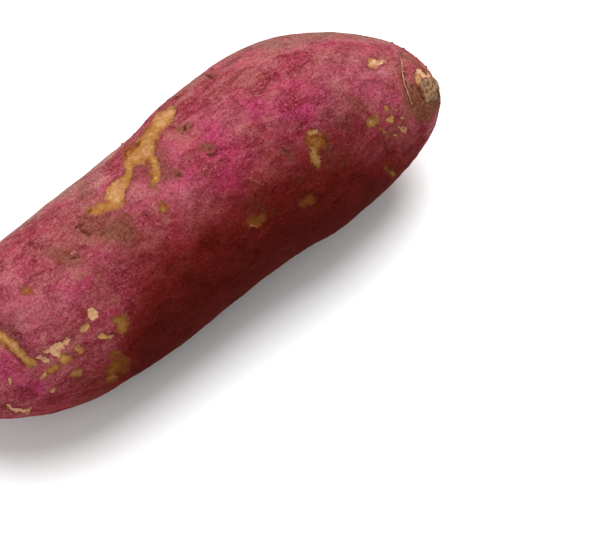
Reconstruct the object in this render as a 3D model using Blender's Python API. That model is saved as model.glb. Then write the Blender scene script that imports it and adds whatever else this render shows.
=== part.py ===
"""A sweet potato: one whole storage root with red-purple skin, lying on its side.

Run with: blender --background --python part.py
The root is one solid. Rings are swept along its curved middle line, from the thin root tail at -X to the
stem scar at +X. Its skin then gets ribs, swellings, eyes and a healed split, with finer faces where these
are small, and its underside is pared flat where it rests.
"""

import math
import random

import bmesh
import bpy
import numpy as np

MM = 0.001

# Driving dimensions: the root's length, the half girth at its fattest place, and its flattening
LENGTH = 176.0 * MM
HALF_GIRTH = 30.2 * MM
HEIGHT_TO_WIDTH = 0.97

# The middle line from tail to stem, as shares of the length: along +X, aside along +Y, height.
# It drifts aside along the body, then hooks up and to the front at the stem.
MIDDLE_LINE = (
    (-0.472, -0.006, 0.117),
    (-0.333, -0.024, 0.142),
    (-0.167, -0.026, 0.156),
    (0.000, -0.010, 0.160),
    (0.156, 0.012, 0.163),
    (0.278, 0.007, 0.167),
    (0.378, -0.021, 0.177),
    (0.444, -0.057, 0.198),
    (0.485, -0.089, 0.222),
)

# Half girth at shares of the middle line, as shares of HALF_GIRTH, before the ends are rounded off
GIRTH = (
    (0.00, 0.76),
    (0.15, 0.84),
    (0.30, 0.91),
    (0.45, 0.95),
    (0.58, 0.98),
    (0.70, 1.00),
    (0.80, 1.00),
    (0.90, 0.97),
    (1.00, 0.93),
)

# The ends are rounded as superellipses: how far in each reaches, and how blunt it is
TAIL_REACH = 42.0 * MM
TAIL_BLUNTNESS = 2.1
STEM_REACH = 54.0 * MM
STEM_BLUNTNESS = 2.1

# The broken root tail and the dished stem stub stand out of the rounded ends
TAIL_RADIUS = 1.1 * MM
TAIL_LENGTH = 11.0 * MM
TAIL_FLARE = 2.6 * MM
TAIL_FLARE_REACH = 4.5 * MM
STUB_RADIUS = 4.2 * MM
STUB_LENGTH = 2.0 * MM
STUB_BLUNTNESS = 4.0
STUB_LOBES = ((2, 0.10, 0.7), (3, 0.08, 2.0), (5, 0.05, 1.1))
DISH_RADIUS = 2.6 * MM
DISH_DEPTH = 1.3 * MM
END_FILLET = 2.4

# Low ribs run along the root: how many go round it, how high each set is as a share of the girth,
# where round the root the first crest starts, and how far the crests twist from end to end
RIBS = (
    (2, 0.014, 0.9, 0.5),
    (3, 0.012, 2.3, -0.7),
    (5, 0.007, 0.4, 1.1),
)

# Broad swellings and hollows of the body: distance from the tail end of the middle line, degrees round
# from the +Y side over the top, spread and height in mm
SWELLINGS = (
    (38.0, 70.0, 11.0, 0.5),
    (46.0, 118.0, 12.0, 0.7),
    (70.0, 150.0, 13.0, -0.8),
    (78.0, 75.0, 12.0, -0.5),
    (97.0, 118.0, 11.0, 0.7),
    (104.0, 33.0, 5.0, 0.7),
    (118.0, 160.0, 12.0, 0.8),
    (124.0, 70.0, 12.0, 0.6),
    (146.0, 105.0, 12.0, 0.7),
    (160.0, 150.0, 8.0, -0.6),
    (60.0, 0.0, 12.0, 0.6),
    (96.0, 22.0, 6.0, -0.6),
    (90.0, 345.0, 11.0, -0.7),
    (130.0, 15.0, 12.0, 0.8),
    (50.0, 215.0, 12.0, 0.4),
    (85.0, 205.0, 11.0, -0.8),
    (128.0, 215.0, 13.0, 0.9),
    (30.0, 300.0, 9.0, 0.8),
    (152.0, 310.0, 11.0, -0.9),
    (156.0, 206.0, 8.0, 0.8),
)

# Eyes that show from above: distance, degrees round, spread and depth in mm
EYES_ABOVE = (
    (100.4, 91.0, 2.6, 0.9),
    (100.0, 69.0, 1.6, 0.5),
    (88.0, 91.5, 1.8, 0.5),
    (118.5, 120.0, 1.7, 0.6),
    (117.0, 41.0, 2.0, 0.7),
    (57.8, 80.0, 2.2, 0.7),
    (52.5, 91.5, 2.2, 0.9),
    (97.4, 141.0, 2.4, 0.6),
    (115.5, 149.5, 2.0, 0.5),
    (158.4, 131.5, 1.8, 0.4),
)

# The other eyes lie in rows along the sides and underneath, at uneven steps
EYE_ROWS = (175.0, 212.0, 252.0, 294.0, 334.0, 8.0)
EYE_ROWS_SEED = 11
EYE_STEP = (19.0, 34.0)
EYE_FIRST = (24.0, 40.0)
EYE_LAST = 158.0
EYE_WANDER = 6.0
EYE_SPREAD = (1.7, 2.5)
EYE_DEPTH = (0.5, 0.9)
EYE_STRETCH = 1.4
EYE_LIP = 0.35
EYE_LIP_REACH = 2.9

# The healed split crosses the top near the tail: distance and degrees round at points along it
SPLIT = (
    (23.2, 84.0),
    (24.4, 96.0),
    (25.5, 108.0),
    (26.5, 120.0),
    (27.6, 133.0),
    (29.8, 146.0),
)
SPLIT_DEPTH = 1.0
SPLIT_HALF_WIDTH = 2.0
SPLIT_TAPER = 7.0

# The flat spot that the root rests on
SINK = 1.0 * MM
FLAT_SNAP = 0.12 * MM

RINGS = 66
SEGMENTS = 40
FINER_ROUNDS = 4
FINER_NEAR_SPLIT = 3.0
FINEST_AT_SPLIT = 1.2 * MM
FINER_NEAR_EYE = 1.6
FINEST_AT_EYE = 2.4 * MM
END_CROWDING = 2.2
END_CROWDING_REACH = 5.0 * MM

SKIN_COLOUR = (0.305, 0.042, 0.084, 1.0)
SKIN_ROUGHNESS = 0.55


def spline(knots, values, at):
    """Values of the natural cubic spline through the knots, at the places in at."""
    knots = np.asarray(knots, float)
    values = np.asarray(values, float)
    gaps = np.diff(knots)
    slopes = np.diff(values, axis=0) / gaps.reshape(-1, *[1] * (values.ndim - 1))
    system = np.eye(len(knots))
    right = np.zeros_like(values)
    for i in range(1, len(knots) - 1):
        system[i, i - 1 : i + 2] = gaps[i - 1], 2 * (gaps[i - 1] + gaps[i]), gaps[i]
        right[i] = 6 * (slopes[i] - slopes[i - 1])
    bend = np.linalg.solve(system, right)
    at = np.asarray(at, float)
    i = np.clip(np.searchsorted(knots, at, side="right") - 1, 0, len(gaps) - 1)
    shape = (-1, *[1] * (values.ndim - 1))
    gap = gaps[i].reshape(shape)
    left = (at - knots[i]).reshape(shape)
    back = gap - left
    return (
        (bend[i] * back**3 + bend[i + 1] * left**3) / (6 * gap)
        + (values[i] / gap - bend[i] * gap / 6) * back
        + (values[i + 1] / gap - bend[i + 1] * gap / 6) * left
    )


def middle_line():
    """Distances along the middle line, and the points there."""
    points = np.array(MIDDLE_LINE) * LENGTH
    chords = np.linalg.norm(np.diff(points, axis=0), axis=1)
    knots = np.concatenate([[0], np.cumsum(chords)])
    fine = spline(knots, points, np.linspace(0, knots[-1], 600))
    steps = np.linalg.norm(np.diff(fine, axis=0), axis=1)
    along = np.concatenate([[0], np.cumsum(steps)])
    return along, fine


def frame_at(distance):
    """The middle line's points at distances from the tail end, with the sideways and upward directions."""
    along, fine = middle_line()
    points = np.stack([np.interp(distance, along, fine[:, k]) for k in range(3)], axis=1)
    tangents = np.gradient(fine, along, axis=0)
    ahead = np.stack([np.interp(distance, along, tangents[:, k]) for k in range(3)], axis=1)
    ahead /= np.linalg.norm(ahead, axis=1, keepdims=True)
    past = np.maximum(distance - along[-1], 0) + np.minimum(distance, 0)
    points += ahead * past[:, None]
    side = np.cross(np.array([0, 0, 1.0]), ahead)
    side /= np.linalg.norm(side, axis=1, keepdims=True)
    up = np.cross(ahead, side)
    return points, side, up


def rounded(depth, reach, bluntness):
    """How much of the full girth is left at a depth in from an end, as a superellipse from 0 to 1."""
    inside = np.clip(depth / reach, 0, 1)
    return (1 - (1 - inside) ** bluntness) ** (1 / bluntness)


def body_radius(distance):
    """The radius of the body alone at distances along the middle line, before ribs and swellings."""
    length = middle_line()[0][-1]
    share = np.clip(distance / length, 0, 1)
    table = np.array(GIRTH)
    body = HALF_GIRTH * spline(table[:, 0], table[:, 1], share)
    body = body * rounded(distance, TAIL_REACH, TAIL_BLUNTNESS)
    return body * rounded(length - distance, STEM_REACH, STEM_BLUNTNESS)


def end_radius(distance, angle):
    """The radius of the root tail and of the knobbly stem stub, each 0 away from its own end."""
    length = middle_line()[0][-1]
    tail = TAIL_RADIUS + TAIL_FLARE * np.exp(np.minimum(distance, 0) / TAIL_FLARE_REACH)
    tail *= rounded(distance + TAIL_LENGTH, TAIL_RADIUS, 2)
    tail = np.where(distance < TAIL_REACH, tail, 0)
    stub = STUB_RADIUS * rounded(length + STUB_LENGTH - distance, STUB_RADIUS / 2, STUB_BLUNTNESS)
    for count, height, crest in STUB_LOBES:
        stub = stub * (1 + height * np.cos(count * (angle - crest)))
    return tail + np.where(distance > length - STEM_REACH, stub, 0)


def apart(distance, angle, place, degrees):
    """Steps along and round the skin, in mm, from a place on it to these points."""
    girth = np.interp(place * MM, *girth_table())
    turn = (angle - math.radians(degrees) + math.pi) % (2 * math.pi) - math.pi
    return distance / MM - place, turn * girth / MM


def girth_table():
    """Distances and body radii to look the girth up in."""
    at = np.linspace(0, middle_line()[0][-1], 300)
    return at, body_radius(at)


def eyes():
    """Every eye: the ones seen from above, then the rows round the rest of the root."""
    found = list(EYES_ABOVE)
    chance = random.Random(EYE_ROWS_SEED)
    for row in EYE_ROWS:
        place = chance.uniform(*EYE_FIRST)
        while place < EYE_LAST:
            degrees = row + chance.uniform(-EYE_WANDER, EYE_WANDER)
            found.append((place, degrees, chance.uniform(*EYE_SPREAD), chance.uniform(*EYE_DEPTH)))
            place += chance.uniform(*EYE_STEP)
    return found


def from_split(distance, angle):
    """Distance in mm from the healed split, and how far along it the nearest place is."""
    nearest = np.full(distance.shape, np.inf)
    run = np.zeros(distance.shape)
    done = 0.0
    for start, end in zip(SPLIT[:-1], SPLIT[1:]):
        along, across = apart(distance, angle, *start)
        step = np.array(apart(np.array([end[0] * MM]), np.radians([end[1]]), *start))[:, 0]
        size = np.linalg.norm(step)
        share = np.clip((along * step[0] + across * step[1]) / size**2, 0, 1)
        gap = np.hypot(along - share * step[0], across - share * step[1])
        closer = gap < nearest
        nearest = np.where(closer, gap, nearest)
        run = np.where(closer, done + share * size, run)
        done += size
    return nearest, np.minimum(run, done - run)


def relief(distance, angle):
    """How far the skin stands out from the plain swept form, in metres."""
    girth = body_radius(distance)
    share = distance / middle_line()[0][-1]
    rise = np.zeros(distance.shape)
    for count, height, crest, twist in RIBS:
        rise += girth * height * np.cos(count * (angle - crest) + twist * share * math.tau)
    for place, degrees, spread, height in SWELLINGS:
        along, across = apart(distance, angle, place, degrees)
        rise += height * MM * np.exp(-(along**2 + across**2) / (2 * spread**2))
    for place, degrees, spread, depth in eyes():
        along, across = apart(distance, angle, place, degrees)
        away = (along**2 + (across / EYE_STRETCH) ** 2) / (2 * spread**2)
        rise -= depth * MM * ((1 + EYE_LIP) * np.exp(-away) - EYE_LIP * np.exp(-away / EYE_LIP_REACH))
    gap, run = from_split(distance, angle)
    faded = np.clip(run / SPLIT_TAPER + 0.15, 0, 1)
    rise -= SPLIT_DEPTH * MM * faded * np.exp(-((gap / SPLIT_HALF_WIDTH) ** 2))
    return rise * np.clip(girth / HALF_GIRTH * 1.6, 0, 1)


def surface(distance, angle):
    """Points of the skin. Angle 0 is the +Y side, 90 degrees the top and 270 the underside."""
    centre, side, up = frame_at(distance)
    body = np.maximum(body_radius(distance) + relief(distance, angle), 0)
    radius = (body**END_FILLET + end_radius(distance, angle) ** END_FILLET) ** (1 / END_FILLET)
    length = middle_line()[0][-1]
    dish = np.exp(-((radius / DISH_RADIUS) ** 2)) * (distance > length - STEM_REACH)
    ahead = np.cross(side, up)
    return (
        centre
        + side * (radius * np.cos(angle))[:, None]
        + up * (radius * HEIGHT_TO_WIDTH * np.sin(angle))[:, None]
        - ahead * (DISH_DEPTH * dish)[:, None]
    )


def ring_distances():
    """Where the rings stand: evenly by the way over the skin, but crowded towards both ends."""
    length = middle_line()[0][-1]
    fine = np.linspace(-TAIL_LENGTH, length + STUB_LENGTH, 4000)
    radius = (body_radius(fine) ** END_FILLET + end_radius(fine, 0) ** END_FILLET) ** (1 / END_FILLET)
    steps = np.hypot(np.diff(fine), np.diff(radius))
    middle = (fine[1:] + fine[:-1]) / 2
    from_tail = np.exp(-np.abs(middle) / END_CROWDING_REACH)
    from_stem = np.exp(-np.abs(length - middle) / END_CROWDING_REACH)
    weight = np.concatenate([[0], np.cumsum(steps * (1 + END_CROWDING * (from_tail + from_stem)))])
    return np.interp(np.linspace(0, weight[-1], RINGS + 2), weight, fine)


def ring_grid():
    """A closed bmesh of rings with a point at each end. Its layers hold each point's place on the skin."""
    mesh = bmesh.new()
    layers = [mesh.verts.layers.float.new(name) for name in ("distance", "cosine", "sine")]
    distances = ring_distances()

    def vertex(distance, cosine, sine):
        made = mesh.verts.new((0, 0, 0))
        for layer, value in zip(layers, (distance, cosine, sine)):
            made[layer] = value
        return made

    turns = np.arange(SEGMENTS) * math.tau / SEGMENTS
    tail = vertex(distances[0], 0, 0)
    rings = [[vertex(at, math.cos(turn), math.sin(turn)) for turn in turns] for at in distances[1:-1]]
    stem = vertex(distances[-1], 0, 0)
    for j in range(SEGMENTS):
        k = (j + 1) % SEGMENTS
        mesh.faces.new((tail, rings[0][k], rings[0][j]))
        for low, high in zip(rings[:-1], rings[1:]):
            mesh.faces.new((low[j], low[k], high[k], high[j]))
        mesh.faces.new((stem, rings[-1][j], rings[-1][k]))
    return mesh, layers


def place_on_skin(mesh, layers):
    """Moves every vertex to its place on the skin."""
    verts = list(mesh.verts)
    distance, cosine, sine = (np.array([v[layer] for v in verts]) for layer in layers)
    for vert, point in zip(verts, surface(distance, np.arctan2(sine, cosine))):
        vert.co = point


def refine(mesh, layers):
    """Halves the long edges near the split and the eyes, so that these small shapes come out."""
    edges = list(mesh.edges)
    distance, cosine, sine = (
        np.array([(edge.verts[0][layer] + edge.verts[1][layer]) / 2 for edge in edges]) for layer in layers
    )
    length = np.array([edge.calc_length() for edge in edges])
    angle = np.arctan2(sine, cosine)
    long = (from_split(distance, angle)[0] < FINER_NEAR_SPLIT) & (length > FINEST_AT_SPLIT)
    for place, degrees, spread, _ in eyes():
        along, across = apart(distance, angle, place, degrees)
        near = np.hypot(along, across / EYE_STRETCH) < FINER_NEAR_EYE * spread
        long |= near & (length > FINEST_AT_EYE)
    chosen = [edge for edge, is_long in zip(edges, long) if is_long]
    bmesh.ops.subdivide_edges(mesh, edges=chosen, cuts=1)
    bmesh.ops.triangulate(mesh, faces=list(mesh.faces))
    place_on_skin(mesh, layers)


def pare_flat(mesh):
    """Cuts the underside off flat at height 0 and closes the cut."""
    for vert in mesh.verts:
        if abs(vert.co.z) < FLAT_SNAP:
            vert.co.z = 0
    whole = list(mesh.verts) + list(mesh.edges) + list(mesh.faces)
    bmesh.ops.bisect_plane(
        mesh, geom=whole, dist=1e-7, plane_co=(0, 0, 0), plane_no=(0, 0, -1), clear_outer=True
    )
    open_edges = [edge for edge in mesh.edges if edge.is_boundary]
    bmesh.ops.holes_fill(mesh, edges=open_edges, sides=0)


def move_by(mesh, x, y, z):
    for vert in mesh.verts:
        vert.co.x += x
        vert.co.y += y
        vert.co.z += z


def build_root():
    mesh, layers = ring_grid()
    place_on_skin(mesh, layers)
    bmesh.ops.triangulate(mesh, faces=list(mesh.faces), quad_method="SHORT_EDGE")
    for _ in range(FINER_ROUNDS):
        refine(mesh, layers)
    move_by(mesh, 0, 0, -SINK - min(vert.co.z for vert in mesh.verts))
    pare_flat(mesh)
    bmesh.ops.triangulate(mesh, faces=list(mesh.faces))
    bmesh.ops.dissolve_degenerate(mesh, dist=1e-6, edges=list(mesh.edges))
    bmesh.ops.recalc_face_normals(mesh, faces=list(mesh.faces))
    across = [vert.co.x for vert in mesh.verts]
    aside = [vert.co.y for vert in mesh.verts]
    move_by(mesh, -(min(across) + max(across)) / 2, -(min(aside) + max(aside)) / 2, 0)
    data = bpy.data.meshes.new("sweet_potato")
    mesh.to_mesh(data)
    mesh.free()
    data.shade_smooth()
    root = bpy.data.objects.new("sweet_potato", data)
    bpy.context.scene.collection.objects.link(root)
    return root


def skin_material():
    material = bpy.data.materials.new("sweet_potato_skin")
    material.use_nodes = True
    shader = material.node_tree.nodes["Principled BSDF"]
    shader.inputs["Base Color"].default_value = SKIN_COLOUR
    shader.inputs["Roughness"].default_value = SKIN_ROUGHNESS
    return material


for old in list(bpy.data.objects):
    bpy.data.objects.remove(old)
build_root().data.materials.append(skin_material())
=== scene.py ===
import math
import random

import bmesh
import bpy
import numpy as np
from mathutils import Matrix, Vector, noise
from mathutils.bvhtree import BVHTree


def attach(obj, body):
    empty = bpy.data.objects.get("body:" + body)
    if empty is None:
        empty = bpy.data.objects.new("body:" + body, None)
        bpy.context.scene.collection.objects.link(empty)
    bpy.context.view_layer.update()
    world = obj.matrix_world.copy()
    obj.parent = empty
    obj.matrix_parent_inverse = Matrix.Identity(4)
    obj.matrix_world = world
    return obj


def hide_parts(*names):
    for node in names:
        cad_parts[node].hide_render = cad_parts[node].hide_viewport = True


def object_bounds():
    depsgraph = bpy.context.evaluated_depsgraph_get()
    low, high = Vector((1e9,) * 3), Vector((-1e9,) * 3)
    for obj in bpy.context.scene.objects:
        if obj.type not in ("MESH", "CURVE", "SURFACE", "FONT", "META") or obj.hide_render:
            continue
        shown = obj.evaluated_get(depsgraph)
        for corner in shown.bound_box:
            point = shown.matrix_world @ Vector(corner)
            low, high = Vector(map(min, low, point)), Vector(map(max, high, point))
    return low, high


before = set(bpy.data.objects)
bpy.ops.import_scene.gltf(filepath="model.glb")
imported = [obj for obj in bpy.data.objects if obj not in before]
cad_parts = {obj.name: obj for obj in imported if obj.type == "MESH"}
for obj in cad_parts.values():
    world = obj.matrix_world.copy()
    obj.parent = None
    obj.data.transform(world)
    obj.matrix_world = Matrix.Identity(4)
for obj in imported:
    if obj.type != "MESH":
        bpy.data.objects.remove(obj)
solid_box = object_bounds()

# The camera: a long lens that looks down on the root from its front left, with the root to the
# upper left of the picture, so that the tail end runs out past the edge.
PHOTO_WIDTH = 600
PHOTO_HEIGHT = 546
VIEW_AZIMUTH = math.radians(-36)
VIEW_ELEVATION = math.radians(65)
LENS_MM = 120
SENSOR_MM = 36
FOCAL_PIXELS = LENS_MM / SENSOR_MM * PHOTO_WIDTH
VIEW_DISTANCE = 0.59
AIM_HEIGHT = 0.029
AIM_RIGHT = 0.0395
AIM_UP = -0.0153

view_back = Vector((
    math.sin(VIEW_AZIMUTH) * math.cos(VIEW_ELEVATION),
    -math.cos(VIEW_AZIMUTH) * math.cos(VIEW_ELEVATION),
    math.sin(VIEW_ELEVATION),
))
view_right = Vector((math.cos(VIEW_AZIMUTH), math.sin(VIEW_AZIMUTH), 0))
view_up = view_back.cross(view_right)
aim = Vector((0, 0, AIM_HEIGHT)) + view_right * AIM_RIGHT + view_up * AIM_UP


def put_in_scene(name, data):
    """A new object of this data, in the scene."""
    made = bpy.data.objects.new(name, data)
    bpy.context.scene.collection.objects.link(made)
    return made


camera_data = bpy.data.cameras.new("camera")
camera_data.lens = LENS_MM
camera_data.sensor_width = SENSOR_MM
camera = put_in_scene("camera", camera_data)
camera.location = aim + view_back * VIEW_DISTANCE
camera.rotation_euler = (-view_back).to_track_quat("-Z", "Y").to_euler()
bpy.context.scene.camera = camera


# The whole root. It grew as one piece, so one fine skin stands for the whole solid: the solid's own
# mesh made even and smooth, with its wrinkles, eyes, split and scars pressed in further down.
MM = 0.001
SAME_POINT = 0.001 * MM
VOXEL = 0.67 * MM
SMOOTHINGS = 12
TAIL_KEPT = 15 * MM
FLOOR_KEPT = 0.05 * MM
FINER_REACH = 8 * MM
FINER_CUTS = 2

solid_mesh = bmesh.new()
solid_mesh.from_mesh(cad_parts["sweet_potato"].data)
bmesh.ops.remove_doubles(solid_mesh, verts=solid_mesh.verts, dist=SAME_POINT)
rough_data = bpy.data.meshes.new("rough")
solid_mesh.to_mesh(rough_data)
rough = put_in_scene("rough", rough_data)
rounding = rough.modifiers.new("rounding", "SUBSURF")
rounding.levels = rounding.render_levels = 1
remesh = rough.modifiers.new("remesh", "REMESH")
remesh.mode = "VOXEL"
remesh.voxel_size = VOXEL
skin_mesh = bpy.data.meshes.new_from_object(rough.evaluated_get(bpy.context.evaluated_depsgraph_get()))
skin_mesh.name = "potato_skin"
bpy.data.objects.remove(rough)

finer = bmesh.new()
finer.from_mesh(skin_mesh)
stem_end = max(finer.verts, key=lambda vert: vert.co.x).co.copy()
at_stem = [edge for edge in finer.edges if (edge.verts[0].co - stem_end).length < FINER_REACH]
bmesh.ops.subdivide_edges(finer, edges=at_stem, cuts=FINER_CUTS, use_grid_fill=True)
finer.to_mesh(skin_mesh)
finer.free()

count = len(skin_mesh.vertices)
points = np.empty(count * 3)
skin_mesh.vertices.foreach_get("co", points)
points = points.reshape(-1, 3)
edges = np.empty(len(skin_mesh.edges) * 2, int)
skin_mesh.edges.foreach_get("vertices", edges)
edges = edges.reshape(-1, 2)
neighbours = np.bincount(edges.ravel(), minlength=count)
faces = [tuple(face.vertices) for face in skin_mesh.polygons]


def averaged(values):
    """The mean over each vertex's neighbours, for one number or one point a vertex."""
    if values.ndim > 1:
        return np.stack([averaged(column) for column in values.T], axis=1)
    total = np.bincount(edges[:, 0], values[edges[:, 1]], count)
    total += np.bincount(edges[:, 1], values[edges[:, 0]], count)
    return total / neighbours


def smoothed(values, rounds, held):
    """Averages again and again, except at the vertices that are held."""
    for _ in range(rounds):
        values = np.where(held[:, None], values, averaged(values))
    return values


def set_points():
    """Writes the points to the mesh and gives back its vertex normals."""
    skin_mesh.vertices.foreach_set("co", points.ravel())
    skin_mesh.update()
    found = np.empty(count * 3)
    skin_mesh.vertex_normals.foreach_get("vector", found)
    return found.reshape(-1, 3)


tail_tip = points[np.argmin(points[:, 0])]
from_tail = np.linalg.norm(points - tail_tip, axis=1)
held = (from_tail < TAIL_KEPT) | (points[:, 2] < FLOOR_KEPT)
points = smoothed(points, SMOOTHINGS, held)
normals = set_points()
skin_tree = BVHTree.FromPolygons(points.tolist(), faces)


# Places on the skin. Marks that the view shows are strokes in pixels of the 600 x 546 frame, and each
# vertex knows the pixel that it shows at. Marks on the sides that the view hides are strokes of places
# in metres. Each point of a stroke ends in the stroke's half width there.
FACING_SEEN = 0.04
FAR = 1e3
OUTSIDE = -99.0

to_camera = np.array(camera.location) - points
depth = to_camera @ np.array(view_back)
pixels = np.stack([
    PHOTO_WIDTH / 2 - FOCAL_PIXELS * (to_camera @ np.array(view_right)) / depth,
    PHOTO_HEIGHT / 2 + FOCAL_PIXELS * (to_camera @ np.array(view_up)) / depth,
], axis=1)
PIXEL = VIEW_DISTANCE / FOCAL_PIXELS
facing = (normals * to_camera).sum(axis=1) / np.linalg.norm(to_camera, axis=1)
in_view = facing > FACING_SEEN


def seen_at(px, py):
    """The place on the skin that shows at a pixel, or the nearest one if the pixel is just off the root."""
    ray = view_right * (px - PHOTO_WIDTH / 2) - view_up * (py - PHOTO_HEIGHT / 2) - view_back * FOCAL_PIXELS
    place = skin_tree.ray_cast(camera.location, ray.normalized())[0]
    if place is None:
        off = np.linalg.norm(pixels - (px, py), axis=1) + np.where(in_view, 0, FAR)
        place = Vector(points[np.argmin(off)])
    return place


def nearest_on(where, stroke):
    """The gap from each place to a stroke, and the stroke's half width there."""
    stroke = np.array(stroke, float)
    if len(stroke) == 1:
        stroke = np.repeat(stroke, 2, axis=0)
    best_gap = np.full(len(where), FAR)
    best_width = np.zeros(len(where))
    for start, end in zip(stroke[:-1], stroke[1:]):
        along = end[:-1] - start[:-1]
        share = np.clip(((where - start[:-1]) @ along) / max(along @ along, 1e-12), 0, 1)
        gap = np.linalg.norm(where - start[:-1] - share[:, None] * along, axis=1)
        width = start[-1] + share * (end[-1] - start[-1])
        nearer = width - gap > best_width - best_gap
        best_gap = np.where(nearer, gap, best_gap)
        best_width = np.where(nearer, width, best_width)
    return best_gap, best_width


def seen_depth(strokes):
    """How far in mm each vertex lies inside any of the strokes in pixels, below 0 outside them."""
    best = np.full(count, OUTSIDE)
    for stroke in strokes:
        gap, width = nearest_on(pixels[in_view], stroke)
        best[in_view] = np.maximum(best[in_view], (width - gap) * PIXEL / MM)
    return best


def skin_depth(strokes):
    """The same for strokes of places in metres."""
    best = np.full(count, OUTSIDE)
    for stroke in strokes:
        gap, width = nearest_on(points, stroke)
        best = np.maximum(best, (width - gap) / MM)
    return best


def soft_tone(strokes):
    """A soft amount from 0 to 1 round strokes in pixels, each with its strength before it."""
    total = np.zeros(count)
    for strength, stroke in strokes:
        on_skin = [(*seen_at(px, py), width * PIXEL) for px, py, width in stroke]
        gap, width = nearest_on(points, on_skin)
        total += strength * np.exp(-0.5 * (gap / width) ** 2)
    return np.clip(total, 0, 1)


def lumps(size, seed, stretch=(1, 1, 1)):
    """A smooth noise from about -1 to 1 at each vertex, in lumps of this size in mm."""
    shift = Vector((7.3 * seed, 1.9 * seed, 4.1 * seed))
    return np.array([noise.noise(Vector(place) + shift) for place in points / (size * MM) / stretch])


def step_up(values, low, high):
    """0 below low, 1 above high and smooth between them."""
    share = np.clip((values - low) / (high - low), 0, 1)
    return share * share * (3 - 2 * share)


# The bare patches, where the red skin has rubbed off or healed over with cork, a little below the skin
# round them. Each has a tone before its stroke: 0 is fresh cream, 0.5 tan, 0.8 ochre and 1.2 rust.
BARE_PATCHES = (
    (0.52, ((172, 110, 4), (166, 116, 7), (159, 124, 7))),
    (0.72, ((157, 128, 6), (151, 135, 7), (146, 142, 7.5), (141, 150, 7.5), (134, 153, 6))),
    (0.62, ((152, 143, 4), (148, 152, 7), (141, 156, 6.5), (133, 157, 6))),
    (1.05, ((140, 144, 3), (134, 150, 4), (128.5, 154, 4.5), (127, 159, 3.6))),
    (0.60, ((129, 158, 5), (128.5, 167, 3.4), (128, 175, 3.6), (123, 182, 4.5))),
    (0.50, ((120, 185, 6), (116, 191, 8.5), (114.5, 199, 7.5))),
    (0.74, ((117, 203, 5.5), (107, 206, 6), (98, 208.5, 5), (89, 212, 2))),
    (0.62, ((150, 154, 5.5), (154, 162, 4.4), (156, 170, 3.8), (155.5, 178, 3.6), (153.5, 185, 2.6))),
    (0.95, ((148.5, 160, 2.5), (150.5, 169, 1.8), (151.3, 178, 1.5))),
    (1.00, ((309, 137.5, 3.6), (313, 141, 6), (317, 141, 7))),
    (0.45, ((310, 133, 2.4), (316, 132, 3), (320, 133, 2))),
    (1.20, ((322, 139, 3), (324, 144, 3))),
    (0.55, ((313, 149, 3.6), (315, 155, 5), (316.5, 161, 3.8), (317.5, 166.5, 1.6))),
    (0.42, ((370, 60, 2.6), (372, 63.5, 4.4), (374, 66.5, 2.8))),
    (0.10, ((374, 61, 3.4), (378, 61.5, 3.6), (383, 62.5, 1.8), (386, 63, 0.8))),
    (0.60, ((371, 122, 4.4), (375, 120, 3.6))),
    (0.35, ((390, 120, 3.0),)),
    (0.50, ((387, 109, 1.8),)),
    (0.50, ((391, 114, 1.6), (393, 116.5, 1.2))),
    (0.28, ((398, 124.5, 1.7), (400.5, 128, 1.9), (402.5, 131, 2.2))),
    (0.35, ((396.5, 136, 1.7), (393, 133.5, 1.2))),
    (0.60, ((383.5, 131, 1.3), (379.5, 128.5, 1.0))),
    (0.45, ((402, 118.5, 1.2),)),
    (0.30, ((404.5, 126, 0.9), (406.5, 130, 1.1))),
    (0.40, ((395, 110, 0.9),)),
    (0.55, ((386, 168, 1.6), (393, 174, 1.2))),
    (0.85, ((161, 205, 2.6), (164, 210, 3.2))),
    (1.05, ((250, 221, 2.6), (257, 221, 4), (261, 218, 2.5))),
    (1.25, ((304, 203, 2.6), (309, 200, 2.8))),
    (1.00, ((24, 290, 2.2), (29, 291, 2))),
    (0.20, ((45, 352, 2.6), (53, 350.5, 4.4), (60, 347, 4.4), (67, 342.5, 3.2))),
    (0.10, ((55, 354, 2.6), (58, 355, 2))),
    (0.20, ((39, 358, 2.8), (46, 360, 2.4))),
    (0.18, ((92, 310, 2), (93, 315, 4.6), (96, 316, 3.6))),
    (0.38, ((87, 325.5, 2.2), (82.5, 331, 2.8))),
    (0.42, ((98, 337, 2.0), (103, 335.5, 2.2))),
    (0.40, ((109, 337, 1.2), (113, 336, 0.8))),
    (0.72, ((116, 321, 2.6), (125, 322, 4), (122, 328, 4), (123, 332, 1.8))),
    (0.48, ((79, 350, 3), (84, 349.5, 2.6), (80, 353.5, 2))),
    (0.56, ((64, 358, 4), (69, 359, 3.6))),
    (0.64, ((74, 374, 3.6), (79, 373, 2.6))),
    (0.35, ((37, 375, 1.8), (44, 376, 2.2), (41, 378, 1.6))),
    (0.20, ((9, 379, 2), (10, 382, 1.8))),
    (0.20, ((8, 406, 1.2), (15, 410, 2), (22, 411, 2), (29, 411, 1.6))),
    (1.00, ((113, 355, 3), (118, 353, 2.4))),
    (0.80, ((110, 379, 2.6), (114, 376, 2.4))),
    (1.20, ((119, 370, 2.6), (125, 369, 2))),
    (0.62, ((50, 371, 1.8), (57, 367, 1.8))),
    (1.05, ((110, 372, 4), (118, 366, 5), (124, 360, 3.5))),
    (0.35, ((52, 392, 1.6), (55, 391, 1.4))),
    (0.02, ((417.5, 70.5, 1.8), (421, 72.5, 3.6), (425, 75, 3.4), (429, 76.5, 1.6))),
    (0.40, ((418, 75, 3.2), (418.5, 78, 3.2), (417.5, 81, 2.4), (417.5, 83, 1.6))),
    (0.60, ((417, 76, 1.6), (416.5, 80, 1.2))),
)
HIDDEN_PATCHES = 46
HIDDEN_SEED = 5
HIDDEN_FACING = -0.12
HIDDEN_TONES = (0.15, 0.3, 0.6, 0.8, 0.95, 1.1)
HIDDEN_STEPS = (1, 1, 2, 3)
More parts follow.
